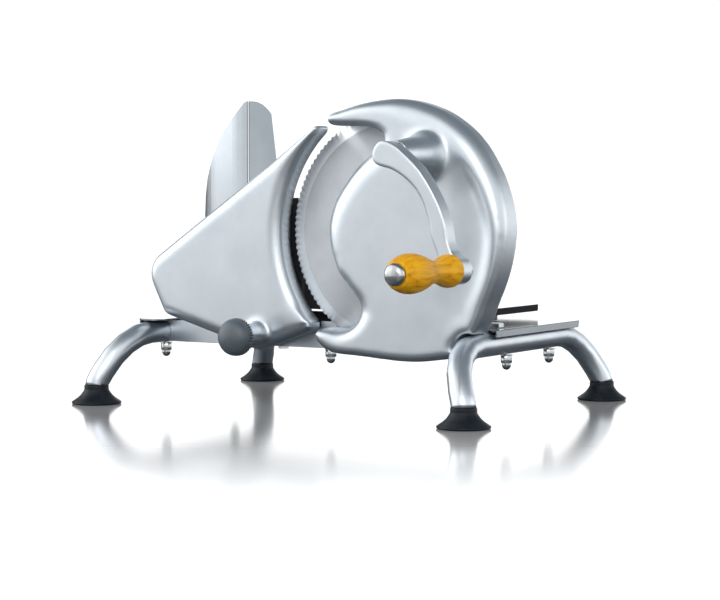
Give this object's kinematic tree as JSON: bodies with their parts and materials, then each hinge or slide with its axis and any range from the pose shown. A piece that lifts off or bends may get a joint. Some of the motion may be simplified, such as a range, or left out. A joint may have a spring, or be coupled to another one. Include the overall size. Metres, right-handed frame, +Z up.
{
  "type": "hand crank meat slicer",
  "caption": "Hand crank food slicer: toothed round blade in a cast housing, adjustable stop plate, sliding food carriage and a sheet base on bent tube legs with rubber feet.",
  "frame": {"origin": "on the table, at the middle of the slicer's plan", "axes": "+Z up, +X to the operator's right along the carriage's travel, +Y from the operator's side with the crank towards the food side"},
  "size_m": [0.3834, 0.3758, 0.2481],
  "materials": {
    "cast_metal": "satin powder-blasted cast aluminium, silver",
    "blade_steel": "ground stainless steel with a polished bevel",
    "sheet_steel": "bright brushed stainless sheet",
    "tube_metal": "silver powder coat, fine satin",
    "chrome": "polished chrome plate",
    "plain_steel": "plain turned steel",
    "brass": "sintered bronze",
    "black_plastic": "black moulded plastic, satin",
    "rubber": "black moulded rubber, satin",
    "wood": "turned hardwood, clear amber varnish"
  },
  "bodies": {
    "frame": {"blade_housing": "cast_metal", "blade_axle": "plain_steel", "crank_bush_front": "brass", "crank_bush_rear": "brass", "cross_bar": "cast_metal", "guide_block": "cast_metal", "pad_screw": "plain_steel", "clamp_screw": "plain_steel", "seat_screw": "plain_steel", "base_plate": "sheet_steel", "guide_rail": "sheet_steel", "rail_rivet_left": "plain_steel", "rail_rivet_right": "plain_steel", "left_leg_tube": "tube_metal", "right_leg_tube": "tube_metal", "foot_front_left": "rubber", "foot_front_right": "rubber", "foot_back_left": "rubber", "foot_back_right": "rubber", "stud_right_front": "plain_steel", "stud_right_back": "plain_steel", "stud_left": "plain_steel", "stud_left_back": "plain_steel", "stud_centre": "plain_steel", "cap_nut_right_front": "chrome", "cap_nut_right_back": "chrome", "cap_nut_left": "chrome", "cap_nut_left_back": "chrome", "cap_nut_centre": "chrome"},
    "blade_unit": {"blade": "blade_steel", "blade_gear": "black_plastic", "blade_bush": "brass", "blade_screw": "chrome", "gear_screw_1": "plain_steel", "gear_screw_2": "plain_steel", "gear_screw_3": "plain_steel"},
    "crank": {"crank_shaft": "plain_steel", "crank_pinion": "plain_steel", "crank_arm": "cast_metal", "crank_arm_screw": "plain_steel", "handle_pin": "plain_steel", "handle_end_cap": "chrome"},
    "grip": {"handle_grip": "wood"},
    "stop": {"stop_plate": "cast_metal", "guide_pin_left": "plain_steel", "guide_pin_right": "plain_steel"},
    "thickness_setting": {"thickness_knob": "black_plastic", "thickness_spindle": "plain_steel"},
    "carriage_unit": {"carriage": "sheet_steel", "finger_guard": "sheet_steel", "guard_rivet_low": "plain_steel", "guard_rivet_high": "plain_steel", "carriage_runner_front": "black_plastic", "carriage_runner_back": "black_plastic"},
    "pusher_unit": {"pusher": "black_plastic", "pusher_stud": "plain_steel", "pusher_knob": "black_plastic"}
  },
  "joints": [
    {"name": "blade_spin", "type": "hinge", "parent": "frame", "child": "blade_unit", "pos_m": [0.07722, -0.0189, 0.1436], "axis": [0, 1, 0], "continuous": true},
    {"name": "crank_turn", "type": "hinge", "parent": "frame", "child": "crank", "pos_m": [0.11775, -0.0529, 0.20128], "axis": [0, 1, 0], "continuous": true},
    {"name": "handle_spin", "type": "hinge", "parent": "crank", "child": "grip", "pos_m": [0.17424, -0.1419, 0.11706], "axis": [0, 1, 0], "continuous": true},
    {"name": "stop_slide", "type": "slide", "parent": "frame", "child": "stop", "axis": [0, -1, 0], "range_m": [0, 0.015]},
    {"name": "knob_turn", "type": "hinge", "parent": "stop", "child": "thickness_setting", "pos_m": [-0.04077, -0.0679, 0.0588], "axis": [0, 1, 0], "range_deg": [0, 540]},
    {"name": "carriage_slide", "type": "slide", "parent": "frame", "child": "carriage_unit", "axis": [1, 0, 0], "range_m": [-0.085, 0.085]},
    {"name": "pusher_slide", "type": "slide", "parent": "carriage_unit", "child": "pusher_unit", "axis": [0, 1, 0], "range_m": [0, 0.05]}
  ],
  "couplings": [
    {"joint": "crank_turn", "follows": "blade_spin", "ratio": -1.6111},
    {"joint": "knob_turn", "follows": "stop_slide", "rad_per_m": 628.32}
  ]
}
